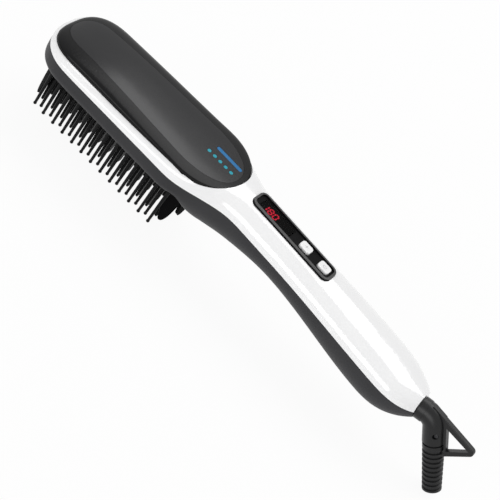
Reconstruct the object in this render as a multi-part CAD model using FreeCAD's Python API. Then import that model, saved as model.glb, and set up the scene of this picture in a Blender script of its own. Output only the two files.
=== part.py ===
import FreeCAD, Part
import math
import os

# A paddle hair straightening brush: a lofted two-shell housing with an oval head, a raised cover with level
# lights, a control panel with two push buttons, a heated comb between cool guard pins, and a swivel tail.
# X runs from the head's tip to the tail, Y across, Z up from the bristle tips. All lengths are millimetres.

V = FreeCAD.Vector
os.makedirs("parts", exist_ok=True)

# Housing outline seen from above
BODY_LENGTH = 266.5
OVAL_LENGTH = 128.4
HEAD_WIDTH = 56.4
NOSE_LENGTH = 26.0
SIDES_SETBACK = 32.4
NECK_PAST_OVAL = 9.6
NECK_WIDTH = 31.0
WAIST_PAST_OVAL = 39.6
GRIP_WIDTH = 34.0
TAIL_TAPER = 30.5
TAIL_WIDTH = 14.6

# Housing heights: the parting line above the bristle tips, then the halves above and below it
PARTING_HEIGHT = 35.3
TAIL_DROP = 9.7
HEAD_ROOF = 4.6
ROOF_RISE_SETBACK = 14.0
HEAD_CEILING = 0.8
CEILING_RISE_SETBACK = 30.4
CEILING_RISE_LENGTH = 26.0
HANDLE_CROWN = 10.6
TAIL_CROWN = 7.1
HEAD_DEPTH = 11.0
CHIN_SETBACK = 24.0
CHIN_LENGTH = 12.6
CHIN_DEPTH = 21.8
WAIST_DEPTH = 14.2
BELLY_DEPTH = 19.9
TAIL_DEPTH = 7.6
TAIL_LIFT_DEGREES = 12.0

# Housing walls and the roundness of its sections (2 is an ellipse, more is squarer)
WALL = 2.0
ROOF_WALL = 2.6
END_WALL = 5.5
PLAN_ROUNDNESS = 2.25
HEAD_TOP_ROUNDNESS = 4.0
HEAD_BOTTOM_ROUNDNESS = 6.0
HANDLE_ROUNDNESS = 2.3

# Clearances
SLIP = 0.15
RUNNING = 0.08
FREE = 0.3
OVERRUN = 60.0

# Top cover and its inlay
OVAL_END_ROUND = 29.5
COVER_INSET = 2.5
COVER_TIP_WIDTH = 48.2
COVER_END_WIDTH = 51.0
COVER_TIP_RISE = 3.6
COVER_END_RISE = 8.3
COVER_SEAT_DEPTH = 1.8
COVER_LEDGE = 4.0
COVER_RISE = 4.5
COVER_PEAK_X = 45.0
COVER_WALL = 1.8
COVER_FLOOR = 1.2
COVER_TIP_PLAN = 2.7
COVER_END_PLAN = 2.05
COVER_ROUNDNESS = 3.3
COVER_TIP_ROUNDNESS = 2.35
COVER_END_ROUNDNESS = 1.3
INLAY_TIP = 4.8
INLAY_SETBACK = 6.0
INLAY_TIP_WIDTH = 28.4
INLAY_END_WIDTH = 36.6
INLAY_TIP_ROUND = 14.5
INLAY_END_ROUND = 28.0
INLAY_THICKNESS = 1.2

# Level lights at the handle end of the cover
LEVEL_COUNT = 5
LEVEL_PITCH = 3.97
LEVEL_SETBACK = 27.0
LEVEL_Y = 0.0
LEVEL_DIAMETER = 2.2
LIGHT_BAR_SETBACK = 17.5
LIGHT_BAR_Y = 6.7
LIGHT_BAR_LENGTH = 17.6
LIGHT_BAR_WIDTH = 2.3
LED_HEIGHT = 0.7
LED_SIZE = 1.6
BAR_LED_SHARES = (-0.6, 0.0, 0.6)
INDICATOR_BOARD_SETBACK = 20.8
INDICATOR_BOARD_LENGTH = 23.0
INDICATOR_BOARD_WIDTH = 18.0
BOARD_THICKNESS = 1.2
INDICATOR_POST_DIAMETER = 3.0

# Control panel on the handle
PANEL_GAP = 6.7
PANEL_LENGTH = 55.8
PANEL_WIDTH = 12.4
PANEL_CORNER = 3.8
PANEL_EDGE = 0.5
PANEL_PROUD = 0.9
PANEL_THICKNESS = 2.8
PANEL_RIM = 1.4
PANEL_RECESS = 0.9
WINDOW_END_SETBACK = 4.4
WINDOW_GAP = 6.0
WINDOW_WIDTH = 7.4
WINDOW_CORNER = 1.4
WINDOW_THICKNESS = 1.0
BUTTON_END_SETBACK = 6.4
BUTTON_PITCH = 13.5
BUTTON_LENGTH = 7.2
BUTTON_WIDTH = 5.6
BUTTON_CORNER = 1.6
BUTTON_EDGE = 0.4
BUTTON_PROUD = 0.5
BUTTON_TRAVEL = 0.5
BUTTON_FLANGE = 0.5
BUTTON_FLANGE_THICKNESS = 0.8
BUTTON_STEM_DIAMETER = 2.6
CONTROL_BOARD_DEPTH = 9.0
CONTROL_BOARD_OVERHANG = 0.6
CONTROL_BOARD_WIDTH = 18.0
SWITCH_SIZE = 6.0
SWITCH_HEIGHT = 2.4
PLUNGER_DIAMETER = 2.2
PLUNGER_SUNK = 1.2
PLUNGER_PROUD = 1.0
DISPLAY_END_MARGIN = 2.0
DISPLAY_WIDTH = 5.8
BOARD_POST_INSET = 2.5
BOARD_POST_Y = 7.0
BOARD_POST_DIAMETER = 4.4
BOARD_SCREW_DIAMETER = 1.8
BOARD_SCREW_LENGTH = 6.0
SCREW_HEAD_DIAMETER = 3.6
SCREW_HEAD_HEIGHT = 1.3

# Bristle bed, guard pins and heated comb
BED_INSET = 3.4
BED_SETBACK = 15.9
BED_END_ROUND = 12.5
BED_FLUSH = 0.9
BED_PLATE = 2.0
BED_FLANGE = 1.1
BED_FLANGE_THICKNESS = 1.6
PIN_PITCH = 7.2
PIN_FIRST_X = 16.6
PIN_END_MARGIN = 9.0
PIN_ROW_Y = 22.6
FIRST_PIN_SETBACK = 0.9
PIN_ROOT_DIAMETER = 2.2
PIN_NECK_DIAMETER = 1.5
PIN_BALL_DIAMETER = 1.9
INNER_PIN_SHIFT = 3.05
INNER_PIN_Y = 19.9
TOOTH_ROWS = 5
TOOTH_ROW_PITCH = 7.6
TOOTH_THICKNESS = 2.1
TOOTH_WIDTH = 5.0
TOOTH_TIP_WIDTH = 3.0
TOOTH_TIP_THICKNESS = 1.3
TOOTH_TIP_HEIGHT = 1.2
GUARD_WIDTH = 8.0
GUARD_THICKNESS = 1.8
GUARD_TIP_HEIGHT = 3.4
GUARD_ROUNDNESS = 2.25
GUARD_INNER_DEGREES = 78.0
FRONT_GUARD_INNER_X = 9.5
FRONT_GUARD_INNER_Y = 7.6
FRONT_GUARD_OUTER_X = 13.2
FRONT_GUARD_OUTER_Y = 16.6
FRONT_GUARD_DEGREES = 52.0
REAR_GUARD_INNER_SETBACK = 3.5
REAR_GUARD_INNER_Y = 5.5
REAR_GUARD_OUTER_SETBACK = 6.5
REAR_GUARD_OUTER_Y = 18.0
REAR_GUARD_DEGREES = 35.0

# Heater pack above the bed
HEATER_PLATE_WIDTH = 40.0
HEATER_PLATE_CORNER = 10.0
HEATER_PLATE_OVERHANG = 6.0
HEATER_PLATE_THICKNESS = 2.2
PTC_COUNT = 2
PTC_WIDTH = 12.0
PTC_THICKNESS = 2.2
PTC_GAP = 8.0
INSULATOR_THICKNESS = 0.4
INSULATOR_MARGIN = 1.5
CLAMP_WIDTH = 9.0
CLAMP_THICKNESS = 1.0
CLAMP_FOOT = 6.0
CLAMP_END_MARGIN = 2.7
CLAMP_SCREW_DIAMETER = 2.2
CLAMP_SCREW_HEAD = 4.2
FUSE_DIAMETER = 3.6
FUSE_LENGTH = 11.0
SENSOR_DIAMETER = 2.2
SENSOR_LENGTH = 4.6
SENSOR_EDGE = 0.7
SENSOR_Y = 13.0

# Screws that close the housing from below
FRONT_SCREW_PAST_OVAL = 1.6
REAR_SCREW_BEFORE_MIDDLE = 3.0
CASE_SCREW_DIAMETER = 2.6
CASE_SCREW_HEAD = 5.0
CASE_SCREW_HEAD_HEIGHT = 2.0
CASE_SCREW_GRIP = 7.0
CASE_POST_DIAMETER = 7.0
CASE_HEAD_SINK = 3.2

# Swivel tail: shaft, bush, clip, elbow, hang loop and cord sleeve
SHAFT_DIAMETER = 7.6
BUSH_WALL = 1.3
BUSH_LENGTH = 5.5
BUSH_LIP = 1.0
CLIP_WALL = 1.8
CLIP_THICKNESS = 1.0
CLIP_GROOVE = 0.8
CLIP_GAP_DEGREES = 80.0
SHAFT_END = 1.4
COLLAR_DIAMETER = 12.6
ELBOW_REACH = 9.1
ELBOW_DROP = 14.8
ELBOW_DIAMETER = 12.0
ELBOW_BEND_RADIUS = 7.4
ELBOW_FALL_DEGREES = 53.9
CORD_PASSAGE_DIAMETER = 5.0
LOOP_THICKNESS = 3.2
LOOP_BAR = 2.6
LOOP_EDGE = 0.6
LOOP_SEAT = 6.3
LOOP_HOLE_NEAR = 3.6
LOOP_HOLE_FAR = 17.2
LOOP_HOLE_TIP = 13.5
LOOP_HOLE_REACH = 19.8
LOOP_BAR_NEAR = 7.4
LOOP_ROOT_NEAR = -1.6
LOOP_ROOT_FAR = 20.6
ELBOW_SPINE_START = -7.0
LOOP_SCREW_ALONG = 8.0
LOOP_SCREW_OFFSET = 3.1
LOOP_SCREW_DIAMETER = 1.4
LOOP_SCREW_HEAD = 2.6
LOOP_SCREW_HEAD_HEIGHT = 0.8
LOOP_SCREW_SINK = 0.6
SLEEVE_LENGTH = 27.5
SLEEVE_DIAMETER = 11.6
SLEEVE_END_DIAMETER = 10.2
SLEEVE_RIBS = 9
SLEEVE_RIB_DEPTH = 0.7
RIB_FALL_SHARE = 0.125
RIB_RISE_SHARE = 0.5
RIB_CREST_SHARE = 0.625
SLEEVE_COLLAR = 2.6
SLEEVE_BORE = 6.4
SLEEVE_SPIGOT = 4.0
SLEEVE_SPIGOT_DIAMETER = 7.8
GROOVE_WIDTH = 1.2
GROOVE_DEPTH = 0.8

# Where the housing sections stand, as shares of each stretch of the outline
NOSE_SHARES = (0.002, 0.02, 0.07, 0.16, 0.30, 0.50, 0.75, 1.0)
SIDE_SHARES = (0.33, 0.67, 0.93, 1.0)
FLARE_SHARES = (0.12, 0.25, 0.37, 0.5, 0.62, 0.75, 0.88, 1.0)
GRIP_SHARES = (0.12, 0.25, 0.38, 0.5, 0.62, 0.74, 0.86, 1.0)
TAIL_SHARES = (0.2, 0.4, 0.57, 0.72, 0.85, 0.95, 1.06)
TAIL_WIDTH_BEND = 3.2
TAIL_CROWN_BEND = 1.8
TAIL_DEPTH_BEND = 2.3
PARTING_BEND = 1.5
ROOF_BEND = 2.4
COVER_EDGE_BEND = 1.9
CURVE_STEPS = 16

# Places along the brush that follow from the lengths of its body and its cover
sides_end = OVAL_LENGTH - SIDES_SETBACK
neck_start = OVAL_LENGTH + NECK_PAST_OVAL
waist_x = OVAL_LENGTH + WAIST_PAST_OVAL
grip_x = BODY_LENGTH - TAIL_TAPER
roof_rise_end = OVAL_LENGTH - ROOF_RISE_SETBACK
ceiling_rise_start = OVAL_LENGTH - CEILING_RISE_SETBACK
ceiling_rise_end = ceiling_rise_start + CEILING_RISE_LENGTH
chin_front = OVAL_LENGTH - CHIN_SETBACK
chin_x = chin_front + CHIN_LENGTH
bed_end = OVAL_LENGTH - BED_SETBACK
inlay_end = OVAL_LENGTH - INLAY_SETBACK
oval_last = OVAL_LENGTH - OVAL_END_ROUND
cover_end = OVAL_LENGTH - COVER_INSET
cover_tip_round = NOSE_LENGTH - COVER_INSET
cover_end_round = OVAL_END_ROUND - COVER_INSET
level_first_x = OVAL_LENGTH - LEVEL_SETBACK
light_bar_x = OVAL_LENGTH - LIGHT_BAR_SETBACK
indicator_board_x = OVAL_LENGTH - INDICATOR_BOARD_SETBACK
panel_x = OVAL_LENGTH + PANEL_GAP + PANEL_LENGTH / 2
pin_count = int((bed_end - PIN_FIRST_X - PIN_END_MARGIN) / PIN_PITCH) + 1

# Places along the panel, from its middle
rear_button_x = PANEL_LENGTH / 2 - BUTTON_END_SETBACK
front_button_x = rear_button_x - BUTTON_PITCH
window_first = WINDOW_END_SETBACK - PANEL_LENGTH / 2
window_last = front_button_x - BUTTON_LENGTH / 2 - WINDOW_GAP
window_x = (window_first + window_last) / 2
window_length = window_last - window_first
display_length = window_length - 2 * DISPLAY_END_MARGIN
control_board_length = PANEL_LENGTH + 2 * CONTROL_BOARD_OVERHANG
board_post_spacing = control_board_length - 2 * BOARD_POST_INSET

# The rear case screw stands just before the middle of the stretch from the control board to the tail
control_board_end = panel_x + control_board_length / 2
rear_screw_x = (control_board_end + BODY_LENGTH) / 2 - REAR_SCREW_BEFORE_MIDDLE


def smooth(share):
    """Eases from 0 to 1 with level ends."""
    t = min(max(share, 0.0), 1.0)
    return t * t * (3 - 2 * t)


def ease(x, start, end, first, last):
    """A value that goes smoothly from first at start to last at end."""
    return first + (last - first) * smooth((x - start) / (end - start))


def rounded(share, roundness):
    """Height of a superellipse quarter, 1 at share 0 and 0 at share 1."""
    return max(1 - abs(share) ** roundness, 0.0) ** (1 / roundness)


def tail_share(x):
    return max((x - grip_x) / (BODY_LENGTH - grip_x), 0.0)


def half_width(x):
    """Half the housing's width past the nose."""
    if x <= neck_start:
        return ease(x, sides_end, neck_start, HEAD_WIDTH / 2, NECK_WIDTH / 2)
    full = ease(x, waist_x, grip_x, NECK_WIDTH / 2, GRIP_WIDTH / 2)
    return full - (GRIP_WIDTH - TAIL_WIDTH) / 2 * tail_share(x) ** TAIL_WIDTH_BEND


def parting(x):
    """Height of the line where the two shells meet."""
    fall = max((x - chin_x) / (BODY_LENGTH - chin_x), 0.0)
    return PARTING_HEIGHT - TAIL_DROP * fall ** PARTING_BEND


def crown(x):
    """Height of the housing above the parting line."""
    share = min(max(x / roof_rise_end, 0.0), 1.0)
    full = HEAD_ROOF + (HANDLE_CROWN - HEAD_ROOF) * share ** ROOF_BEND
    return full - (HANDLE_CROWN - TAIL_CROWN) * tail_share(x) ** TAIL_CROWN_BEND


def ceiling(x):
    """Height of the housing's inside above the parting line, low in the head."""
    full = ease(x, ceiling_rise_start, ceiling_rise_end, HEAD_CEILING, HANDLE_CROWN - ROOF_WALL)
    return full - (HANDLE_CROWN - TAIL_CROWN) * tail_share(x) ** TAIL_CROWN_BEND


def keel(x, chin_start):
    """Depth of the housing below the parting line, with its chin from chin_start."""
    chin = ease(x, chin_start, chin_start + CHIN_LENGTH, HEAD_DEPTH, CHIN_DEPTH)
    behind = ease(x, chin_x, waist_x, CHIN_DEPTH, WAIST_DEPTH)
    if x > waist_x:
        behind = ease(x, waist_x, grip_x, WAIST_DEPTH, BELLY_DEPTH)
    return min(chin, behind) - (BELLY_DEPTH - TAIL_DEPTH) * tail_share(x) ** TAIL_DEPTH_BEND


def spread(start, end, shares):
    return [start + (end - start) * share for share in shares]


def bow_points(across, first, second, first_shape, second_shape):
    """Half a rounded outline: from first above, out to across at 0, to second below, by equal turns."""
    points = []
    for k in range(CURVE_STEPS + 1):
        turn = math.pi * (0.5 - k / CURVE_STEPS)
        out = math.cos(turn)
        rise = math.sin(turn)
        shape = first_shape if rise > 0 else second_shape
        reach = (abs(out) ** shape + abs(rise) ** shape) ** (-1 / shape)
        points.append((across * out * reach, (first if rise > 0 else second) * rise * reach))
    points[0] = (0, first)
    points[-1] = (0, -second)
    return points


def smooth_edge(points, start_way, end_way):
    """A curve through the points that leaves and arrives along the given ways."""
    curve = Part.BSplineCurve()
    curve.interpolate(Points=points, Parameters=[float(k) for k in range(len(points))],
                      InitialTangent=start_way, FinalTangent=end_way)
    return curve.toShape()


def section(x, inset, roof, chin_start):
    """Closed outline of the housing at x, drawn in by inset at the sides and below, with its roof above."""
    narrow = 1.0
    top_narrow = 1.0
    bottom_narrow = 1.0
    if x < NOSE_LENGTH:
        reach = (NOSE_LENGTH - x) / (NOSE_LENGTH - inset)
        narrow = rounded(reach, PLAN_ROUNDNESS)
        top_narrow = rounded(reach, HEAD_TOP_ROUNDNESS)
        bottom_narrow = rounded(reach, HEAD_BOTTOM_ROUNDNESS)
    top_shape = ease(x, sides_end, neck_start, HEAD_TOP_ROUNDNESS, HANDLE_ROUNDNESS)
    bottom_shape = ease(x, sides_end, chin_x, HEAD_BOTTOM_ROUNDNESS, HANDLE_ROUNDNESS)
    width = (half_width(x) - inset) * narrow
    top = roof(x) * top_narrow
    bottom = (keel(x, chin_start) - inset) * bottom_narrow
    halves = []
    for side in (1, -1):
        points = [V(x, side * y, parting(x) + z)
                  for y, z in bow_points(width, top, bottom, top_shape, bottom_shape)]
        halves.append(smooth_edge(points, V(0, side, 0), V(0, -side, 0)))
    return Part.Wire(halves)


def housing(inset, roof, chin_start, end):
    """The housing's solid form under a roof, drawn in by inset, as far as end."""
    places = spread(inset, NOSE_LENGTH, NOSE_SHARES)
    places += spread(NOSE_LENGTH, sides_end, SIDE_SHARES)
    places += spread(sides_end, neck_start, FLARE_SHARES)
    places += spread(neck_start, grip_x, GRIP_SHARES)
    places += spread(grip_x, end, TAIL_SHARES)
    return Part.makeLoft([section(x, inset, roof, chin_start) for x in places], True, False)


def above_parting():
    """A block whose floor is the parting surface."""
    places = [-OVERRUN] + spread(0, chin_x, SIDE_SHARES)
    places += spread(chin_x, BODY_LENGTH, GRIP_SHARES)
    line = Part.BSplineCurve()
    line.interpolate([V(x, -OVERRUN, parting(x)) for x in places])
    end = BODY_LENGTH + OVERRUN
    top = PARTING_HEIGHT + OVERRUN
    a = V(BODY_LENGTH, -OVERRUN, parting(BODY_LENGTH))
    b = V(end, -OVERRUN, parting(BODY_LENGTH))
    c = V(end, -OVERRUN, top)
    d = V(-OVERRUN, -OVERRUN, top)
    e = V(-OVERRUN, -OVERRUN, PARTING_HEIGHT)
    sides = Part.makePolygon([a, b, c, d, e])
    face = Part.Face(Part.Wire([line.toShape()] + sides.Edges))
    return face.extrude(V(0, 2 * OVERRUN, 0))


def oval(tip, end, tip_half, end_half, tip_round, end_round, shapes, z):
    """A long oval at height z: straight sides, parallel or tapered, and two superellipse ends."""
    first = tip + tip_round
    last = end - end_round
    tip_side = bow_points(tip_round, tip_half, tip_half, shapes[0], shapes[0])
    end_side = bow_points(end_round, end_half, end_half, shapes[1], shapes[1])
    tip_bow = smooth_edge([V(first - x, y, z) for x, y in tip_side], V(-1, 0, 0), V(1, 0, 0))
    end_bow = smooth_edge([V(last + x, y, z) for x, y in end_side], V(1, 0, 0), V(-1, 0, 0))
    near_side = Part.makeLine(V(first, -tip_half, z), V(last, -end_half, z))
    far_side = Part.makeLine(V(last, end_half, z), V(first, tip_half, z))
    return Part.Wire([tip_bow, near_side, end_bow, far_side])


def cover_oval(inset, z):
    """The cover's plan, drawn in by inset."""
    tip_half = COVER_TIP_WIDTH / 2 - inset
    end_half = COVER_END_WIDTH / 2 - inset
    return oval(COVER_INSET + inset, cover_end - inset, tip_half, end_half, cover_tip_round - inset,
                cover_end_round - inset, (COVER_TIP_PLAN, COVER_END_PLAN), z)


def cover_half(x):
    """Half the cover's width at x."""
    share = min(max((x - NOSE_LENGTH) / (oval_last - NOSE_LENGTH), 0.0), 1.0)
    half = (COVER_TIP_WIDTH + (COVER_END_WIDTH - COVER_TIP_WIDTH) * share) / 2
    tip = rounded(max((NOSE_LENGTH - x) / cover_tip_round, 0), COVER_TIP_PLAN)
    end = rounded(max((x - oval_last) / cover_end_round, 0), COVER_END_PLAN)
    return half * tip * end


def cover_edge(x):
    """Height of the cover's edge at x, rising to the handle."""
    climb = (COVER_END_RISE - COVER_TIP_RISE) * (x / OVAL_LENGTH) ** COVER_EDGE_BEND
    return PARTING_HEIGHT + COVER_TIP_RISE + climb


def cover_height(x):
    """Height of the cover's ridge above its edge at x."""
    if x < COVER_PEAK_X:
        return COVER_RISE * rounded((COVER_PEAK_X - x) / (COVER_PEAK_X - COVER_INSET), COVER_TIP_ROUNDNESS)
    return COVER_RISE * rounded((x - COVER_PEAK_X) / (cover_end - COVER_PEAK_X), COVER_END_ROUNDNESS)


def inlay_oval(grow, z):
    """The inlay's plan, made larger by grow."""
    return oval(INLAY_TIP - grow, inlay_end + grow, INLAY_TIP_WIDTH / 2 + grow, INLAY_END_WIDTH / 2 + grow,
                INLAY_TIP_ROUND + grow, INLAY_END_ROUND + grow, (PLAN_ROUNDNESS, PLAN_ROUNDNESS), z)


def bed_oval(inset, z):
    """The bristle bed's plan, inset from the housing's outline."""
    half = HEAD_WIDTH / 2 - inset
    shift = BED_INSET - inset
    return oval(inset, bed_end + shift, half, half, NOSE_LENGTH - inset, BED_END_ROUND + shift,
                (PLAN_ROUNDNESS, PLAN_ROUNDNESS), z)


def prism(wire, height):
    return Part.Face(wire).extrude(V(0, 0, height))


def block(length, width, height, x, y, z):
    """A box centred on x and y, standing on z."""
    return Part.makeBox(length, width, height, V(x - length / 2, y - width / 2, z))


def pill(length, width, height, x, y, z):
    """A bar with half-round ends along X, centred on x and y, standing on z."""
    straight = length - width
    bar = block(straight, width, height, x, y, z)
    ends = [Part.makeCylinder(width / 2, height, V(x + side * straight / 2, y, z)) for side in (-1, 1)]
    return bar.fuse(ends).removeSplitter()


def rounded_bar(length, width, corner, height, x, y, z):
    """A box with its upright edges rounded."""
    bar = block(length, width, height, x, y, z)
    upright = [e for e in bar.Edges if abs(e.tangentAt(e.FirstParameter).z) > 0.9]
    return bar.makeFillet(corner, upright)


def panel_bar(grow, height, z):
    """The control panel's plan, made larger by grow, standing on z in the panel's frame."""
    length = PANEL_LENGTH + 2 * grow
    return rounded_bar(length, PANEL_WIDTH + 2 * grow, PANEL_CORNER + grow, height, 0, 0, z)


def group(solids):
    return Part.makeCompound(solids)


# Heights in the head
rim_bottom = PARTING_HEIGHT - HEAD_DEPTH
cover_seat = PARTING_HEIGHT + COVER_TIP_RISE - COVER_SEAT_DEPTH
above_cover = PARTING_HEIGHT + COVER_END_RISE + COVER_RISE
bed_bottom = rim_bottom + BED_FLUSH
bed_step = bed_bottom + BED_PLATE
bed_top = bed_step + BED_FLANGE_THICKNESS
plate_top = bed_top + HEATER_PLATE_THICKNESS
ptc_top = plate_top + PTC_THICKNESS
clamp_bottom = ptc_top + INSULATOR_THICKNESS
pin_last_x = PIN_FIRST_X + (pin_count - 1) * PIN_PITCH
comb_middle = (PIN_FIRST_X + pin_last_x) / 2

# The control panel's own frame: its X falls with the handle's crown, its Z is square to the panel
panel_start = panel_x - PANEL_LENGTH / 2
panel_end = panel_x + PANEL_LENGTH / 2
panel_low = parting(panel_end) + crown(panel_end)
panel_high = parting(panel_start) + crown(panel_start)
panel_fall = math.degrees(math.atan2(panel_high - panel_low, PANEL_LENGTH))
panel_crown = parting(panel_x) + crown(panel_x)
panel_frame = FreeCAD.Placement(V(panel_x, 0, panel_crown), FreeCAD.Rotation(V(0, 1, 0), panel_fall))

# The tail's frame: its Z is the swivel axis, its X points up across it
tail_middle = parting(BODY_LENGTH) + (TAIL_CROWN - TAIL_DEPTH) / 2
tail_turn = FreeCAD.Rotation(V(0, 1, 0), 90 - TAIL_LIFT_DEGREES)
tail_frame = FreeCAD.Placement(V(BODY_LENGTH, 0, tail_middle), tail_turn)

# The sleeve's frame: its origin is the elbow's corner, its Z runs down along the sleeve, its X points to the
# loop's side
elbow_corner = tail_frame.multVec(V(0, 0, ELBOW_REACH))
sleeve_turn = FreeCAD.Rotation(V(0, 1, 0), 90 + ELBOW_FALL_DEGREES)
sleeve_turn = sleeve_turn.multiply(FreeCAD.Rotation(V(0, 0, 1), 180))
sleeve_frame = FreeCAD.Placement(elbow_corner, sleeve_turn)


def placed(shape, frame):
    """The shape carried from a local frame into the brush's frame."""
    copy = shape.copy()
    copy.Placement = frame.multiply(copy.Placement)
    return copy


def along_tail(radius, start, end):
    """A round bar on the swivel axis between two distances from the tail's end face."""
    return placed(Part.makeCylinder(radius, end - start, V(0, 0, start)), tail_frame)


def along_sleeve(radius, start, end):
    """A round bar on the sleeve's axis between two distances from the elbow's corner."""
    return placed(Part.makeCylinder(radius, end - start, V(0, 0, start)), sleeve_frame)


# Screw posts: the upper shell's reach down to the parting line, the lower shell's stand on the keel
def case_post(x, low, high, diameter):
    return Part.makeCylinder(diameter / 2, high - low, V(x, 0, low))


def case_head_seat(x):
    """Height of the face under a case screw's head."""
    return parting(x) - keel(x, chin_front) + CASE_HEAD_SINK + CASE_SCREW_HEAD_HEIGHT


def board_posts(diameter, low, high):
    """Round bars at the control board's two screws, in the panel's frame."""
    bars = []
    for side in (-1, 1):
        middle = V(side * board_post_spacing / 2, side * BOARD_POST_Y, low)
        bars.append(Part.makeCylinder(diameter / 2, high - low, middle))
    return placed(group(bars), panel_frame).Solids


panel_floor = PANEL_PROUD - PANEL_THICKNESS
board_top = -CONTROL_BOARD_DEPTH
chin_wall = bed_end + BED_FLANGE + WALL
body = housing(0, crown, chin_front, BODY_LENGTH)
cavity = housing(WALL, ceiling, chin_wall, BODY_LENGTH - END_WALL)
case_screw_places = (OVAL_LENGTH + FRONT_SCREW_PAST_OVAL, rear_screw_x)
upper_space = above_parting()
tail_cut = placed(Part.makeBox(OVERRUN, OVERRUN, OVERRUN, V(-OVERRUN / 2, -OVERRUN / 2, 0)), tail_frame)
bush_radius = SHAFT_DIAMETER / 2 + RUNNING + BUSH_WALL
bush_seat = along_tail(bush_radius, -2 * END_WALL, OVERRUN / 2)
body = body.cut(tail_cut)


def upper_shell():
    """White top half: the ring round the cover, the handle's crown, and the posts inside it."""
    shell = body.common(upper_space).cut(cavity)
    posts = board_posts(BOARD_POST_DIAMETER, board_top, 0)
    posts += [case_post(x, parting(x), parting(x) + crown(x), CASE_POST_DIAMETER) for x in case_screw_places]
    shell = shell.fuse([post.common(body) for post in posts])
    seat = prism(cover_oval(-SLIP, cover_seat), OVERRUN)
    well = prism(cover_oval(COVER_LEDGE, cover_seat - OVERRUN / 2), OVERRUN)
    shell = shell.cut([seat, well.common(upper_space)])
    pocket = panel_bar(SLIP, OVERRUN, panel_floor)
    window = panel_bar(-PANEL_RIM, OVERRUN, board_top)
    shell = shell.cut([placed(pocket, panel_frame), placed(window, panel_frame), bush_seat])
    holes = board_posts(BOARD_SCREW_DIAMETER + SLIP, board_top - SLIP, board_top + BOARD_SCREW_LENGTH)
    for x in case_screw_places:
        holes.append(case_post(x, parting(x) - WALL, parting(x) + CASE_SCREW_GRIP + SLIP,
                               CASE_SCREW_DIAMETER + SLIP))
    return shell.cut(holes)


def lower_shell():
    """Charcoal lower half: the head's side band, chin and belly, open below for the bristle bed."""
    shell = body.cut(upper_space).cut(cavity)
    posts = []
    holes = [bush_seat]
    for x in case_screw_places:
        low = parting(x) - keel(x, chin_front)
        posts.append(case_post(x, low, parting(x), CASE_POST_DIAMETER).common(body).cut(upper_space))
        holes.append(case_post(x, low - OVERRUN / 2, case_head_seat(x), CASE_SCREW_HEAD + 2 * SLIP))
        holes.append(case_post(x, low, parting(x) + OVERRUN / 2, CASE_SCREW_DIAMETER + SLIP))
    shell = shell.fuse(posts)
    below = rim_bottom - OVERRUN / 2
    opening = prism(bed_oval(BED_INSET - SLIP, below), PARTING_HEIGHT - below)
    ledge = prism(bed_oval(BED_INSET - BED_FLANGE - SLIP, bed_step), PARTING_HEIGHT - bed_step)
    return shell.cut([opening, ledge] + holes)


def dome_section(x):
    """The cover's outline at x: a superellipse arch on an upright edge that goes down to its seat."""
    half = cover_half(x)
    arch = [V(x, y, cover_edge(x) + z)
            for z, y in bow_points(cover_height(x), half, half, COVER_ROUNDNESS, COVER_ROUNDNESS)]
    foot = [arch[-1], V(x, -half, cover_seat), V(x, half, cover_seat), arch[0]]
    return Part.Wire([smooth_edge(arch, V(0, 0, 1), V(0, 0, -1))] + Part.makePolygon(foot).Edges)


def cover_dome():
    """The cover's full form, arched along and across."""
    places = spread(COVER_INSET, NOSE_LENGTH, NOSE_SHARES)
    places += spread(NOSE_LENGTH, oval_last, SIDE_SHARES)
    places += spread(cover_end, oval_last, NOSE_SHARES)[-2::-1]
    return Part.makeLoft([dome_section(x) for x in places], True, False)


dome = cover_dome()


def sunk_dome(depth):
    """The cover's form moved down by depth."""
    return dome.translated(V(0, 0, -depth))


def level_places():
    return [level_first_x + k * LEVEL_PITCH for k in range(LEVEL_COUNT)]


def level_bars(diameter, low, high):
    return [Part.makeCylinder(diameter / 2, high - low, V(x, LEVEL_Y, low)) for x in level_places()]


def light_bar_solid(margin, low, high):
    return pill(LIGHT_BAR_LENGTH + 2 * margin, LIGHT_BAR_WIDTH + 2 * margin, high - low,
                light_bar_x, LIGHT_BAR_Y, low)


board_far_end = indicator_board_x + INDICATOR_BOARD_LENGTH / 2
board_far_share = INDICATOR_BOARD_WIDTH / 2 / cover_half(board_far_end)
cover_arch = cover_height(board_far_end) * rounded(board_far_share, COVER_ROUNDNESS)
cover_lowest = cover_edge(board_far_end) + cover_arch
indicator_top = cover_lowest - INLAY_THICKNESS - COVER_FLOOR - LED_HEIGHT - 2 * SLIP
lens_bottom = indicator_top + LED_HEIGHT + SLIP


def indicator_posts(diameter, low, high):
    bars = []
    for side in (-1, 1):
        reach = side * (INDICATOR_BOARD_LENGTH / 2 - INDICATOR_POST_DIAMETER / 2)
        y = -INDICATOR_BOARD_WIDTH / 2 + INDICATOR_POST_DIAMETER / 2
        bars.append(Part.makeCylinder(diameter / 2, high - low, V(indicator_board_x + reach, y, low)))
    return bars


def light_holes():
    """Room for the light pipes, through the cover's floor and the inlay."""
    holes = level_bars(LEVEL_DIAMETER + 2 * SLIP, lens_bottom, above_cover)
    return holes + [light_bar_solid(SLIP, lens_bottom, above_cover)]


def top_cover():
    """Raised black cover, arched both ways, hollow below, with a recess for the inlay."""
    recess = prism(inlay_oval(SLIP, cover_seat), OVERRUN).cut(sunk_dome(INLAY_THICKNESS))
    room = prism(cover_oval(COVER_WALL, cover_seat - OVERRUN / 2), OVERRUN)
    hollow = room.common(sunk_dome(INLAY_THICKNESS + COVER_FLOOR))
    posts = group(indicator_posts(INDICATOR_POST_DIAMETER, indicator_top, above_cover))
    posts = posts.common(sunk_dome(INLAY_THICKNESS + COVER_FLOOR / 2))
    return dome.cut([recess, hollow]).fuse(posts.Solids).cut(light_holes())


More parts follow.
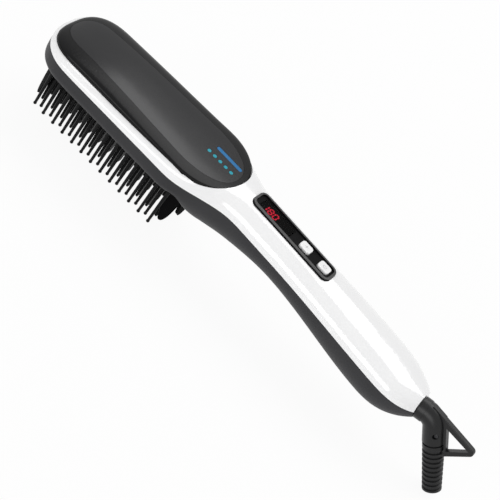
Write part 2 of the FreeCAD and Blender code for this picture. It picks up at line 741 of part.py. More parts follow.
def cover_inlay():
    """Thin arched panel in the cover's recess, pierced for the level lights."""
    panel = prism(inlay_oval(0, cover_seat), OVERRUN).common(dome)
    return panel.cut([sunk_dome(INLAY_THICKNESS)] + light_holes())


def level_lenses():
    """Round light pipes whose ends are flush with the cover."""
    return group([bar.common(dome) for bar in level_bars(LEVEL_DIAMETER, lens_bottom, above_cover)])


def light_bar():
    return light_bar_solid(0, lens_bottom, above_cover).common(dome)


def indicator_board():
    low = indicator_top - BOARD_THICKNESS
    return block(INDICATOR_BOARD_LENGTH, INDICATOR_BOARD_WIDTH, BOARD_THICKNESS, indicator_board_x, 0, low)


def indicator_leds():
    chips = [block(LED_SIZE, LED_SIZE, LED_HEIGHT, x, LEVEL_Y, indicator_top) for x in level_places()]
    spots = spread(light_bar_x, light_bar_x + LIGHT_BAR_LENGTH / 2, BAR_LED_SHARES)
    chips += [block(LED_SIZE, LED_SIZE, LED_HEIGHT, x, LIGHT_BAR_Y, indicator_top) for x in spots]
    return group(chips)


def in_panel(shape):
    return placed(shape, panel_frame)


def button_places():
    return [front_button_x, rear_button_x]


recess_floor = PANEL_PROUD - PANEL_RECESS


def control_bezel():
    """Black round-cornered frame sunk in the handle's crown, with button holes and a display opening."""
    frame = panel_bar(0, PANEL_THICKNESS, panel_floor)
    crest = [e for e in frame.Edges if e.BoundBox.ZMin > PANEL_PROUD - SLIP]
    frame = frame.makeFillet(PANEL_EDGE, crest).cut(panel_bar(-PANEL_RIM, OVERRUN, recess_floor))
    for x in button_places():
        hole = rounded_bar(BUTTON_LENGTH + 2 * FREE, BUTTON_WIDTH + 2 * FREE, BUTTON_CORNER + FREE,
                           OVERRUN, x, 0, -OVERRUN / 2)
        frame = frame.cut(hole)
    rest = recess_floor - WINDOW_THICKNESS
    seat = rounded_bar(window_length + 2 * SLIP, WINDOW_WIDTH + 2 * SLIP, WINDOW_CORNER + SLIP, OVERRUN,
                       window_x, 0, rest)
    light = block(display_length, DISPLAY_WIDTH, OVERRUN, window_x, 0, -OVERRUN / 2)
    return in_panel(frame.cut([seat, light]))


def display_window():
    """Smoked pane over the display."""
    rest = recess_floor - WINDOW_THICKNESS
    pane = rounded_bar(window_length, WINDOW_WIDTH, WINDOW_CORNER, WINDOW_THICKNESS, window_x, 0, rest)
    return in_panel(pane)


def led_display():
    """Digit module standing on the control board, just below the pane."""
    top = panel_floor - SLIP
    return in_panel(block(display_length, DISPLAY_WIDTH, top - board_top, window_x, 0, board_top))


switch_top = board_top + SWITCH_HEIGHT
plunger_top = switch_top + PLUNGER_PROUD


def push_button(x):
    """White key with a flange that stops it below the bezel and a stem to its switch."""
    cap_bottom = panel_floor - FREE
    cap = rounded_bar(BUTTON_LENGTH, BUTTON_WIDTH, BUTTON_CORNER, PANEL_PROUD + BUTTON_PROUD - cap_bottom,
                      x, 0, cap_bottom)
    crest = [e for e in cap.Edges if e.BoundBox.ZMin > PANEL_PROUD + BUTTON_PROUD - SLIP]
    cap = cap.makeFillet(BUTTON_EDGE, crest)
    flange_bottom = cap_bottom - BUTTON_FLANGE_THICKNESS
    flange = rounded_bar(BUTTON_LENGTH + 2 * BUTTON_FLANGE, BUTTON_WIDTH + 2 * BUTTON_FLANGE,
                         BUTTON_CORNER + BUTTON_FLANGE, BUTTON_FLANGE_THICKNESS, x, 0, flange_bottom)
    stem = Part.makeCylinder(BUTTON_STEM_DIAMETER / 2, flange_bottom - plunger_top, V(x, 0, plunger_top))
    return in_panel(cap.fuse([flange, stem]).removeSplitter())


def switch_plunger(x):
    """The switch's own push rod, in its well."""
    low = switch_top - PLUNGER_SUNK
    return in_panel(Part.makeCylinder(PLUNGER_DIAMETER / 2, plunger_top - low, V(x, 0, low)))


def tact_switches():
    bodies = []
    for x in button_places():
        switch = block(SWITCH_SIZE, SWITCH_SIZE, SWITCH_HEIGHT, x, 0, board_top)
        depth = PLUNGER_SUNK + BUTTON_TRAVEL + SLIP
        well = Part.makeCylinder(PLUNGER_DIAMETER / 2 + RUNNING, depth + SLIP, V(x, 0, switch_top - depth))
        bodies.append(switch.cut(well))
    return in_panel(group(bodies))


def control_board():
    low = board_top - BOARD_THICKNESS
    board = block(control_board_length, CONTROL_BOARD_WIDTH, BOARD_THICKNESS, 0, 0, low)
    holes = board_posts(BOARD_SCREW_DIAMETER + 2 * SLIP, board_top - OVERRUN / 2, board_top + SLIP)
    return in_panel(board).cut(holes)


def screw(shank, head, head_height, length):
    """A pan-head screw on the Z axis: head below 0, shank up to length."""
    pan = Part.makeCylinder(head / 2, head_height, V(0, 0, -head_height))
    pan = pan.makeFillet(head_height / 2, [e for e in pan.Edges if e.BoundBox.ZMax < -head_height / 2])
    return pan.fuse(Part.makeCylinder(shank / 2, length)).removeSplitter()


def board_screws():
    fixings = []
    for side in (-1, 1):
        fixing = screw(BOARD_SCREW_DIAMETER, SCREW_HEAD_DIAMETER, SCREW_HEAD_HEIGHT,
                       BOARD_SCREW_LENGTH + BOARD_THICKNESS - SLIP)
        fixing.translate(V(side * board_post_spacing / 2, side * BOARD_POST_Y, board_top - BOARD_THICKNESS))
        fixings.append(in_panel(fixing))
    return group(fixings)


def case_screws():
    fixings = []
    for x in case_screw_places:
        seat = case_head_seat(x)
        fixing = screw(CASE_SCREW_DIAMETER, CASE_SCREW_HEAD, CASE_SCREW_HEAD_HEIGHT,
                       parting(x) + CASE_SCREW_GRIP - seat)
        fixing.translate(V(x, 0, seat))
        fixings.append(fixing)
    return group(fixings)


def tooth_rows():
    middle = (TOOTH_ROWS - 1) / 2
    return [(row - middle) * TOOTH_ROW_PITCH for row in range(TOOTH_ROWS)]


def pin_places():
    return [PIN_FIRST_X + k * PIN_PITCH for k in range(pin_count)]


comb_reach = (TOOTH_ROWS - 1) / 2 * TOOTH_ROW_PITCH + TOOTH_WIDTH / 2


def bristle_bed():
    """Oval plate that carries the cool pins, slotted for the heated combs."""
    plate = prism(bed_oval(BED_INSET, bed_bottom), BED_PLATE)
    flange = prism(bed_oval(BED_INSET - BED_FLANGE, bed_step), BED_FLANGE_THICKNESS)
    bed = plate.fuse(flange)
    slots = []
    for x in pin_places():
        slots.append(block(TOOTH_THICKNESS + 2 * SLIP, 2 * comb_reach + 2 * SLIP, OVERRUN,
                           x, 0, bed_bottom - SLIP))
    return bed.cut(slots)


def heated_teeth():
    """Combs of flat tapered teeth, one for each slot, joined by a bridge under the heater plate."""
    combs = []
    for x in pin_places():
        comb = block(TOOTH_THICKNESS, 2 * comb_reach, bed_top - bed_bottom, x, 0, bed_bottom)
        teeth = []
        for y in tooth_rows():
            teeth.append(taper(x, y, TOOTH_THICKNESS, TOOTH_WIDTH, bed_bottom,
                               TOOTH_TIP_THICKNESS, TOOTH_TIP_WIDTH, TOOTH_TIP_HEIGHT))
        combs.append(comb.fuse(teeth).removeSplitter())
    return group(combs)


def taper(x, y, length, width, root, tip_length, tip_width, tip):
    """A flat tooth that narrows from its root down to a blunted tip."""
    def outline(long, wide, z):
        corners = [V(x + a * long / 2, y + b * wide / 2, z) for a, b in ((-1, -1), (1, -1), (1, 1), (-1, 1))]
        return Part.makePolygon(corners + corners[:1])

    blunt = min(tip_length, tip_width) / 2
    steps = [outline(length, width, root), outline(tip_length, tip_width, tip + blunt),
             outline(tip_length - blunt, tip_width - blunt, tip)]
    return Part.makeLoft(steps, True, True)


def guard_pin(x, y):
    """A slim cool pin with a ball tip, standing on the bed."""
    ball = PIN_BALL_DIAMETER / 2
    cone = Part.makeCone(PIN_NECK_DIAMETER / 2, PIN_ROOT_DIAMETER / 2, bed_bottom - ball, V(x, y, ball))
    return cone.fuse(Part.makeSphere(ball, V(x, y, ball))).removeSplitter()


def outer_pins():
    """The long rows beside the combs, whose first pins stand in where the head rounds off."""
    pins = [guard_pin(x, side * PIN_ROW_Y) for x in pin_places()[1:] for side in (-1, 1)]
    pins += [guard_pin(PIN_FIRST_X, side * (PIN_ROW_Y - FIRST_PIN_SETBACK)) for side in (-1, 1)]
    return group(pins)


def inner_pins():
    places = [x + INNER_PIN_SHIFT for x in pin_places()[:-1]]
    return group([guard_pin(x, side * INNER_PIN_Y) for x in places for side in (-1, 1)])


def guard_tooth(x, y, degrees):
    """A broad tongue with a rounded tip at an end of the bed, turned to follow its curve."""
    half = GUARD_WIDTH / 2
    side = bow_points(bed_bottom - GUARD_TIP_HEIGHT, half, half, GUARD_ROUNDNESS, GUARD_ROUNDNESS)
    points = [V(across, -GUARD_THICKNESS / 2, bed_bottom - down) for down, across in side]
    edge = smooth_edge(points, V(0, 0, -1), V(0, 0, 1))
    root = Part.makeLine(points[-1], points[0])
    tongue = Part.Face(Part.Wire([edge, root])).extrude(V(0, GUARD_THICKNESS, 0))
    tongue.rotate(V(0, 0, 0), V(0, 0, 1), degrees)
    tongue.translate(V(x, y, 0))
    return tongue


def end_guards():
    """Four broad guards along each rounded end of the bed."""
    rear_inner = bed_end - REAR_GUARD_INNER_SETBACK
    rear_outer = bed_end - REAR_GUARD_OUTER_SETBACK
    tongues = []
    for side in (-1, 1):
        inner_turn = side * GUARD_INNER_DEGREES
        tongues.append(guard_tooth(FRONT_GUARD_INNER_X, side * FRONT_GUARD_INNER_Y, inner_turn))
        tongues.append(guard_tooth(rear_inner, side * REAR_GUARD_INNER_Y, -inner_turn))
        front_turn = side * FRONT_GUARD_DEGREES
        tongues.append(guard_tooth(FRONT_GUARD_OUTER_X, side * FRONT_GUARD_OUTER_Y, front_turn))
        rear_turn = side * REAR_GUARD_DEGREES
        tongues.append(guard_tooth(rear_outer, side * REAR_GUARD_OUTER_Y, -rear_turn))
    return group(tongues)


heater_length = (pin_count - 1) * PIN_PITCH + HEATER_PLATE_OVERHANG
clamp_span = heater_length - 2 * CLAMP_END_MARGIN
ptc_span = clamp_span - 2 * CLAMP_FOOT - 2 * INSULATOR_MARGIN
ptc_length = (ptc_span - (PTC_COUNT - 1) * PTC_GAP) / PTC_COUNT


def clamp_screw_places():
    return [comb_middle + side * (clamp_span - CLAMP_FOOT) / 2 for side in (-1, 1)]


def heater_plate():
    """Aluminium plate over the combs, tapped for the clamp's screws."""
    plate = rounded_bar(heater_length, HEATER_PLATE_WIDTH, HEATER_PLATE_CORNER, HEATER_PLATE_THICKNESS,
                        comb_middle, 0, bed_top)
    holes = [Part.makeCylinder(CLAMP_SCREW_DIAMETER / 2 + SLIP / 2, OVERRUN, V(x, 0, bed_top))
             for x in clamp_screw_places()]
    return plate.cut(holes)


def ptc_places():
    return [comb_middle + (k - (PTC_COUNT - 1) / 2) * (ptc_length + PTC_GAP) for k in range(PTC_COUNT)]


def ptc_heaters():
    return group([block(ptc_length, PTC_WIDTH, PTC_THICKNESS, x, 0, plate_top) for x in ptc_places()])


def heater_insulator():
    length = ptc_span + 2 * INSULATOR_MARGIN
    return block(length, PTC_WIDTH + 2 * INSULATOR_MARGIN, INSULATOR_THICKNESS, comb_middle, 0, ptc_top)


def heater_clamp():
    """Spring-steel strap that presses the heating elements down, with a foot at each end."""
    strap = block(clamp_span, CLAMP_WIDTH, CLAMP_THICKNESS, comb_middle, 0, clamp_bottom)
    feet = []
    for x in clamp_screw_places():
        feet.append(block(CLAMP_FOOT, CLAMP_WIDTH, clamp_bottom - plate_top, x, 0, plate_top))
    strap = strap.fuse(feet).removeSplitter()
    bores = [Part.makeCylinder(CLAMP_SCREW_DIAMETER / 2 + SLIP, OVERRUN, V(x, 0, plate_top - SLIP))
             for x in clamp_screw_places()]
    return strap.cut(bores)


def clamp_screws():
    fixings = []
    seat = clamp_bottom + CLAMP_THICKNESS
    for x in clamp_screw_places():
        fixing = screw(CLAMP_SCREW_DIAMETER, CLAMP_SCREW_HEAD, SCREW_HEAD_HEIGHT, seat - bed_top - SLIP)
        fixing.rotate(V(0, 0, 0), V(1, 0, 0), 180)
        fixing.translate(V(x, 0, seat))
        fixings.append(fixing)
    return group(fixings)


def lying_bar(diameter, length, x, y):
    """A round bar along X lying on the heater plate."""
    return Part.makeCylinder(diameter / 2, length, V(x - length / 2, y, plate_top + diameter / 2), V(1, 0, 0))


def thermal_fuse():
    return lying_bar(FUSE_DIAMETER, FUSE_LENGTH, comb_middle, SENSOR_Y)


def temperature_sensor():
    bead = lying_bar(SENSOR_DIAMETER, SENSOR_LENGTH, comb_middle, -SENSOR_Y)
    return bead.makeFillet(SENSOR_EDGE, bead.Edges[0:1] + bead.Edges[2:3])


shaft_radius = SHAFT_DIAMETER / 2
bush_end = -BUSH_LENGTH
clip_front = bush_end - FREE / 2
shaft_tail = clip_front - CLIP_THICKNESS - SHAFT_END


def swivel_bush():
    """Plain bush held between the shells at the tail."""
    ring = along_tail(bush_radius, bush_end, 0)
    lip = along_tail(bush_radius + BUSH_LIP, bush_end, bush_end + BUSH_LIP)
    bush = ring.fuse(lip.common(cavity)).removeSplitter()
    return bush.cut(along_tail(shaft_radius + RUNNING, -OVERRUN, OVERRUN))


def swivel_clip():
    """Open spring ring in the shaft's groove, behind the bush."""
    back = clip_front - CLIP_THICKNESS
    ring = Part.makeCylinder(shaft_radius + CLIP_WALL, CLIP_THICKNESS, V(0, 0, back))
    ring = ring.cut(Part.makeCylinder(shaft_radius - CLIP_GROOVE + SLIP / 2, OVERRUN, V(0, 0, -OVERRUN / 2)))
    half = math.radians(CLIP_GAP_DEGREES / 2)
    far = OVERRUN
    wedge = Part.makePolygon([V(0, 0, back), V(far * math.cos(half), far * math.sin(half), back),
                              V(far * math.cos(half), -far * math.sin(half), back), V(0, 0, back)])
    gap = Part.Face(wedge).extrude(V(0, 0, CLIP_THICKNESS))
    return placed(ring.cut(gap), tail_frame)


def swivel_elbow():
    """Bent tail piece: shaft with a clip groove, collar, bend, straight end and the loop's flat seat."""
    lift = math.radians(TAIL_LIFT_DEGREES)
    fall = math.radians(ELBOW_FALL_DEGREES)
    tangent = ELBOW_BEND_RADIUS * math.tan((lift + fall) / 2)
    first = tail_frame.multVec(V(0, 0, FREE))
    bend_start = tail_frame.multVec(V(0, 0, ELBOW_REACH - tangent))
    bend_end = sleeve_frame.multVec(V(0, 0, tangent))
    last = sleeve_frame.multVec(V(0, 0, ELBOW_DROP))
    middle_turn = (lift - fall) / 2
    outward = V(-math.sin(middle_turn), 0, math.cos(middle_turn))
    bulge = ELBOW_BEND_RADIUS / math.cos((lift + fall) / 2) - ELBOW_BEND_RADIUS
    bend_middle = elbow_corner.sub(outward.multiply(bulge))
    path = Part.Wire([Part.makeLine(first, bend_start),
                      Part.Arc(bend_start, bend_middle, bend_end).toShape(),
                      Part.makeLine(bend_end, last)])
    ring = Part.Wire(Part.makeCircle(ELBOW_DIAMETER / 2, first, tail_turn.multVec(V(0, 0, 1))))
    elbow = path.makePipeShell([ring], True, False)
    collar = along_tail(COLLAR_DIAMETER / 2, FREE, ELBOW_REACH - tangent)
    shaft = along_tail(shaft_radius, shaft_tail, ELBOW_REACH - tangent)
    spine = loop_plate([(ELBOW_SPINE_START, 0), (LOOP_ROOT_NEAR, LOOP_SEAT),
                        (ELBOW_DROP, LOOP_SEAT), (ELBOW_DROP, 0)])
    elbow = elbow.fuse([collar, shaft, placed(spine, sleeve_frame)])
    back = clip_front - CLIP_THICKNESS
    groove = along_tail(OVERRUN, back - RUNNING, clip_front + RUNNING)
    groove = groove.cut(along_tail(shaft_radius - CLIP_GROOVE, -OVERRUN, OVERRUN))
    near_groove = groove.common(along_tail(COLLAR_DIAMETER, back - RUNNING, clip_front + RUNNING))
    bore = CORD_PASSAGE_DIAMETER / 2
    passage = along_tail(bore, shaft_tail - SLIP, ELBOW_REACH).fuse(along_sleeve(bore, 0, ELBOW_DROP + SLIP))
    spigot_room = along_sleeve(SLEEVE_SPIGOT_DIAMETER / 2 + SLIP, ELBOW_DROP - SLEEVE_SPIGOT - SLIP,
                               ELBOW_DROP + SLIP)
    end_groove = along_sleeve(ELBOW_DIAMETER, ELBOW_DROP - GROOVE_WIDTH, ELBOW_DROP + SLIP)
    end_groove = end_groove.cut(along_sleeve(ELBOW_DIAMETER / 2 - GROOVE_DEPTH, 0, OVERRUN))
    return elbow.cut([near_groove, passage, spigot_room, end_groove, loop_screw_hole()])


def loop_plate(corners):
    """A plate of the loop's thickness from corners given along the sleeve and out from its axis."""
    points = [V(out, -LOOP_THICKNESS / 2, along) for along, out in corners]
    return Part.Face(Part.makePolygon(points + points[:1])).extrude(V(0, LOOP_THICKNESS, 0))


def touch_point(along, out, turn):
    """Where a line from a place on the loop's seat touches the rounding of its tip."""
    run = LOOP_HOLE_TIP - along
    rise = LOOP_HOLE_REACH - out
    way = math.atan2(rise, run) + turn * math.acos(LOOP_BAR / math.hypot(run, rise)) + math.pi
    return LOOP_HOLE_TIP + LOOP_BAR * math.cos(way), LOOP_HOLE_REACH + LOOP_BAR * math.sin(way)


def loop_screw_axis():
    return V(LOOP_SCREW_OFFSET, 0, LOOP_SCREW_ALONG)


def loop_screw_depth():
    """Distance of the screw head's seat from the loop's middle plane."""
    radius = ELBOW_DIAMETER / 2
    return math.sqrt(radius ** 2 - LOOP_SCREW_OFFSET ** 2) - LOOP_SCREW_HEAD_HEIGHT - LOOP_SCREW_SINK


def loop_screw_hole():
    seat = loop_screw_axis().add(V(0, loop_screw_depth(), 0))
    room = Part.makeCylinder(LOOP_SCREW_HEAD / 2 + SLIP, OVERRUN, seat, V(0, 1, 0))
    shank = Part.makeCylinder(LOOP_SCREW_DIAMETER / 2 + SLIP / 2, loop_screw_depth() + LOOP_THICKNESS / 2,
                              seat, V(0, -1, 0))
    return placed(room.fuse(shank), sleeve_frame)


def loop_screw():
    """Small screw in the elbow's near side."""
    length = loop_screw_depth() + LOOP_THICKNESS / 2 - SLIP
    fixing = screw(LOOP_SCREW_DIAMETER, LOOP_SCREW_HEAD, LOOP_SCREW_HEAD_HEIGHT, length)
    fixing.rotate(V(0, 0, 0), V(1, 0, 0), 90)
    fixing.translate(loop_screw_axis().add(V(0, loop_screw_depth(), 0)))
    return placed(fixing, sleeve_frame)


def hang_loop():
    """Triangular hanging eye on the elbow's flat back."""
    near = (LOOP_ROOT_NEAR, LOOP_SEAT)
    far = (LOOP_ROOT_FAR, LOOP_SEAT)
    plate = loop_plate([near, touch_point(*near, -1), touch_point(*far, 1), far])
    tip = Part.makeCylinder(LOOP_BAR, LOOP_THICKNESS, V(LOOP_HOLE_REACH, -LOOP_THICKNESS / 2, LOOP_HOLE_TIP),
                            V(0, 1, 0))
    hole = loop_plate([(LOOP_HOLE_NEAR, LOOP_BAR_NEAR), (LOOP_HOLE_TIP, LOOP_HOLE_REACH),
                       (LOOP_HOLE_FAR, LOOP_BAR_NEAR)])
    loop = plate.fuse(tip).removeSplitter()
    rims = [e for e in loop.Edges if e.BoundBox.YLength < SLIP and e.BoundBox.XMax > LOOP_SEAT + SLIP]
    return placed(loop.makeFillet(LOOP_EDGE, rims).cut(hole), sleeve_frame)


def cord_sleeve():
    """Tapered ribbed sleeve with an open bore for the cord, plugged into the elbow."""
    start = ELBOW_DROP
    pitch = (SLEEVE_LENGTH - SLEEVE_COLLAR) / SLEEVE_RIBS
    taper_step = (SLEEVE_DIAMETER - SLEEVE_END_DIAMETER) / 2 / SLEEVE_LENGTH

    def ring(at, sunk):
        radius = SLEEVE_DIAMETER / 2 - taper_step * at - sunk
        return Part.Wire(Part.makeCircle(radius, V(0, 0, start + at)))

    rings = [ring(0, 0), ring(SLEEVE_COLLAR, 0)]
    for k in range(SLEEVE_RIBS):
        at = SLEEVE_COLLAR + k * pitch
        rings.append(ring(at + pitch * RIB_FALL_SHARE, SLEEVE_RIB_DEPTH))
        rings.append(ring(at + pitch * RIB_RISE_SHARE, SLEEVE_RIB_DEPTH))
        rings.append(ring(at + pitch * RIB_CREST_SHARE, 0))
        rings.append(ring(at + pitch, 0))
    sleeve = Part.makeLoft(rings, True, True)
    spigot = Part.makeCylinder(SLEEVE_SPIGOT_DIAMETER / 2, SLEEVE_SPIGOT, V(0, 0, start - SLEEVE_SPIGOT))
    sleeve = sleeve.fuse(spigot).removeSplitter()
    bore = Part.makeCylinder(SLEEVE_BORE / 2, OVERRUN, V(0, 0, start - SLEEVE_SPIGOT - SLIP))
    return placed(sleeve.cut(bore), sleeve_frame)


front_x, rear_x = button_places()
pieces = {
    "upper_shell": upper_shell(),
    "lower_shell": lower_shell(),
    "top_cover": top_cover(),
    "cover_inlay": cover_inlay(),
    "level_lenses": level_lenses(),
    "light_bar": light_bar(),
    "indicator_board": indicator_board(),
    "indicator_leds": indicator_leds(),
    "control_bezel": control_bezel(),
    "display_window": display_window(),
    "led_display": led_display(),
    "front_button": push_button(front_x),
    "rear_button": push_button(rear_x),
    "front_plunger": switch_plunger(front_x),
    "rear_plunger": switch_plunger(rear_x),
    "tact_switches": tact_switches(),
    "control_board": control_board(),
    "board_screws": board_screws(),
    "case_screws": case_screws(),
    "bristle_bed": bristle_bed(),
    "heated_teeth": heated_teeth(),
    "outer_pins": outer_pins(),
    "inner_pins": inner_pins(),
    "end_guards": end_guards(),
    "heater_plate": heater_plate(),
    "ptc_heaters": ptc_heaters(),
    "heater_insulator": heater_insulator(),
    "heater_clamp": heater_clamp(),
    "clamp_screws": clamp_screws(),
    "thermal_fuse": thermal_fuse(),
    "temperature_sensor": temperature_sensor(),
    "swivel_bush": swivel_bush(),
    "swivel_clip": swivel_clip(),
    "swivel_elbow": swivel_elbow(),
    "hang_loop": hang_loop(),
    "loop_screw": loop_screw(),
    "cord_sleeve": cord_sleeve(),
}

# The origin is the middle of the whole brush's footprint, at its lowest point
box = group(list(pieces.values())).optimalBoundingBox(False, False)
origin = V(box.Center.x, box.Center.y, box.ZMin)
for name, shape in pieces.items():
    shape = shape.copy()
    shape.translate(origin.negative())
    shape.exportStep("parts/" + name + ".step")
    print(name, len(shape.Solids), round(shape.Volume, 2), shape.isValid())
print("origin", round(origin.x, 4), round(origin.y, 4), round(origin.z, 4))
print("size", round(box.XLength, 3), round(box.YLength, 3), round(box.ZLength, 3))
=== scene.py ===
import bpy
import numpy as np
from mathutils import Matrix, Vector


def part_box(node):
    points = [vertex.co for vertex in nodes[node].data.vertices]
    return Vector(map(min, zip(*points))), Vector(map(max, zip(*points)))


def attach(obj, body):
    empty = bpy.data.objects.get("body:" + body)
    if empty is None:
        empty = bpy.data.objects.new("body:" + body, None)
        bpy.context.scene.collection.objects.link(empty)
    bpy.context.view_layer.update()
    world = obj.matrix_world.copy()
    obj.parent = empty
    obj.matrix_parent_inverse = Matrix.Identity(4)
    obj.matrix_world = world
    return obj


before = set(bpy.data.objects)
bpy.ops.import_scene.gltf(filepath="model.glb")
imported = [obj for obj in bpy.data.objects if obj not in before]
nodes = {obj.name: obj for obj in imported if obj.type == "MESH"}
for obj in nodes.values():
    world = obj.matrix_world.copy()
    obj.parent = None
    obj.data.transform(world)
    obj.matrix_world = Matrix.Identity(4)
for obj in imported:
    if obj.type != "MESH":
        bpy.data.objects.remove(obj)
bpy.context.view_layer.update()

# Lower shell: the charcoal half of the housing, with the head's side band, the chin and the grip's belly.
# Injection-moulded ABS with a fine satin texture from the mould, screwed to the upper shell from below.
SATIN_DEPTH = 0.00002
FLOW_CLOUD_SCALE = 60.0
# The Mix node's colour sockets share their names with its other sockets, so they go by number.
MIX_SHARE_INPUT = 0
MIX_FIRST_COLOUR = 6
MIX_SECOND_COLOUR = 7
MIX_COLOUR_OUTPUT = 2


def paint(code):
    """A colour written as six hexadecimal digits on the sRGB curve, as linear light with full cover."""
    part = np.array([int(code[k:k + 2], 16) / 255 for k in (0, 2, 4)])
    linear = np.where(part > 0.04045, ((part + 0.055) / 1.055) ** 2.4, part / 12.92)
    return (*linear, 1.0)


def put(tree, kind, inputs=None, **settings):
    """Adds a shader node; each input takes a plain value or another node's output."""
    made = tree.nodes.new(kind)
    for name, value in settings.items():
        setattr(made, name, value)
    for name, value in (inputs or {}).items():
        if isinstance(value, bpy.types.NodeSocket):
            tree.links.new(value, made.inputs[name])
        else:
            made.inputs[name].default_value = value
    return made


def mould_marks():
    """Node group for moulded surfaces: fine grain from the mould and slow clouds from the melt's flow."""
    group = bpy.data.node_groups.new("Mould marks", "ShaderNodeTree")
    for name, kind in (("Place", "NodeSocketVector"), ("Grain Scale", "NodeSocketFloat"),
                       ("Cloud Scale", "NodeSocketFloat")):
        group.interface.new_socket(name, in_out="INPUT", socket_type=kind)
    for name in ("Grain", "Cloud"):
        group.interface.new_socket(name, in_out="OUTPUT", socket_type="NodeSocketFloat")
    start = group.nodes.new("NodeGroupInput").outputs
    grain = put(group, "ShaderNodeTexNoise", {"Vector": start["Place"], "Scale": start["Grain Scale"],
                                              "Detail": 3.0, "Roughness": 0.6})
    cloud = put(group, "ShaderNodeTexNoise", {"Vector": start["Place"], "Scale": start["Cloud Scale"],
                                              "Detail": 2.0, "Roughness": 0.5})
    end = group.nodes.new("NodeGroupOutput").inputs
    group.links.new(grain.outputs["Fac"], end["Grain"])
    group.links.new(cloud.outputs["Fac"], end["Cloud"])
    return group


marks = mould_marks()


def surface(name, pale, deep, rough, grain, depth=SATIN_DEPTH, **shader):
    """A material whose colour drifts from deep to pale with the clouds, whose roughness drifts over the
    pair in rough with the grain, and whose normal carries grain of the given scale and depth in metres."""
    made = bpy.data.materials.new(name)
    made.use_nodes = True
    tree = made.node_tree
    place = put(tree, "ShaderNodeTexCoord").outputs["Object"]
    mark = put(tree, "ShaderNodeGroup", {"Place": place, "Grain Scale": grain,
                                         "Cloud Scale": FLOW_CLOUD_SCALE}, node_tree=marks).outputs
    tone = put(tree, "ShaderNodeMix", {MIX_SHARE_INPUT: mark["Cloud"], MIX_FIRST_COLOUR: paint(deep),
                                       MIX_SECOND_COLOUR: paint(pale)}, data_type="RGBA")
    roughness = put(tree, "ShaderNodeMapRange", {"Value": mark["Grain"], "From Min": 0.3, "From Max": 0.7,
                                                 "To Min": rough[0], "To Max": rough[1]})
    bump = put(tree, "ShaderNodeBump", {"Height": mark["Grain"], "Distance": depth, "Strength": 1.0})
    sockets = tree.nodes["Principled BSDF"].inputs
    tree.links.new(tone.outputs[MIX_COLOUR_OUTPUT], sockets["Base Color"])
    tree.links.new(roughness.outputs["Result"], sockets["Roughness"])
    tree.links.new(bump.outputs["Normal"], sockets["Normal"])
    for socket, value in shader.items():
        sockets[socket.replace("_", " ")].default_value = value
    return made


def coat(name, material):
    """Gives a CAD node its finish."""
    nodes[name].data.materials.clear()
    nodes[name].data.materials.append(material)


coat("lower_shell", surface("charcoal satin", pale="333335", deep="29292b", rough=(0.42, 0.56), grain=2600.0,
                            Specular_IOR_Level=0.22))

# Upper shell: the white half, with the ring round the cover and the crown of the handle.
# High-gloss ABS from a polished mould, so it has hardly any grain.
coat("upper_shell", surface("white gloss", pale="f5f5f5", deep="f0f0f1", rough=(0.10, 0.16), grain=900.0,
                            depth=0.000002, Specular_IOR_Level=0.7, Coat_Weight=1.0, Coat_Roughness=0.12))

# Case screws: two screws in deep wells under the chin and the belly, which close the shells.
# Zinc-plated steel with a fine, even grain.
steel = surface("zinc plated steel", pale="b9babd", deep="9fa0a4", rough=(0.28, 0.42), grain=4000.0,
                Metallic=1.0)
coat("case_screws", steel)

# Bristle bed: the oval plate under the head that carries the cool pins and is slotted for the combs.
# Heat-proof black nylon, moulded.
coat("bristle_bed", surface("black nylon", pale="101011", deep="0b0b0c", rough=(0.40, 0.55), grain=3000.0,
                            Specular_IOR_Level=0.08))

# Heated teeth: flat tapered teeth in thirteen combs that stand through the bed's slots.
# Die-cast aluminium under a black ceramic coat.
coat("heated_teeth", surface("ceramic coat", pale="09090a", deep="050506", rough=(0.36, 0.5), grain=5200.0,
                             Specular_IOR_Level=0.05))

# Guard pins and end guards: slim cool pins with ball tips along both sides, broad guards round both ends.
# Heat-proof nylon, pressed into the bed; the guards have a matt face.
pin_nylon = surface("pin nylon", pale="111112", deep="0b0b0c", rough=(0.36, 0.5), grain=3600.0,
                    Specular_IOR_Level=0.1)
coat("outer_pins", pin_nylon)
coat("inner_pins", pin_nylon)
coat("end_guards", surface("guard nylon", pale="0c0c0d", deep="070708", rough=(0.62, 0.78), grain=2400.0,
                           Specular_IOR_Level=0.03))

# Heater pack: plate, ceramic heaters, film, strap, screws, fuse and sensor, all inside the head.
# Cast aluminium, foil-wrapped ceramic, polyimide film, spring steel, a tin fuse case and a glass bead.
coat("heater_plate", surface("cast aluminium", pale="c9cacc", deep="b4b5b8", rough=(0.38, 0.55), grain=2200.0,
                             Metallic=1.0))
coat("ptc_heaters", surface("foil on ceramic", pale="a8a49c", deep="8d897f", rough=(0.4, 0.6), grain=1800.0))
coat("heater_insulator", surface("amber film", pale="c98528", deep="b06f1c", rough=(0.12, 0.22), grain=600.0))
coat("heater_clamp", surface("spring steel", pale="a9abb0", deep="8f9196", rough=(0.24, 0.4), grain=2600.0,
                             Metallic=1.0))
coat("clamp_screws", steel)
coat("thermal_fuse", surface("drawn tin", pale="c6c5c1", deep="b2b1ac", rough=(0.25, 0.4), grain=2600.0,
                             Metallic=1.0))
coat("temperature_sensor", surface("sealed glass bead", pale="b9744a", deep="9a5c36", rough=(0.1, 0.2),
                                   grain=900.0))

# Top cover: the raised oval, arched along and across, that sits in the white ring.
# Black ABS from a polished mould.
coat("top_cover", surface("black gloss", pale="121213", deep="0d0d0e", rough=(0.16, 0.24), grain=1200.0,
                          depth=0.000003, Specular_IOR_Level=0.14))

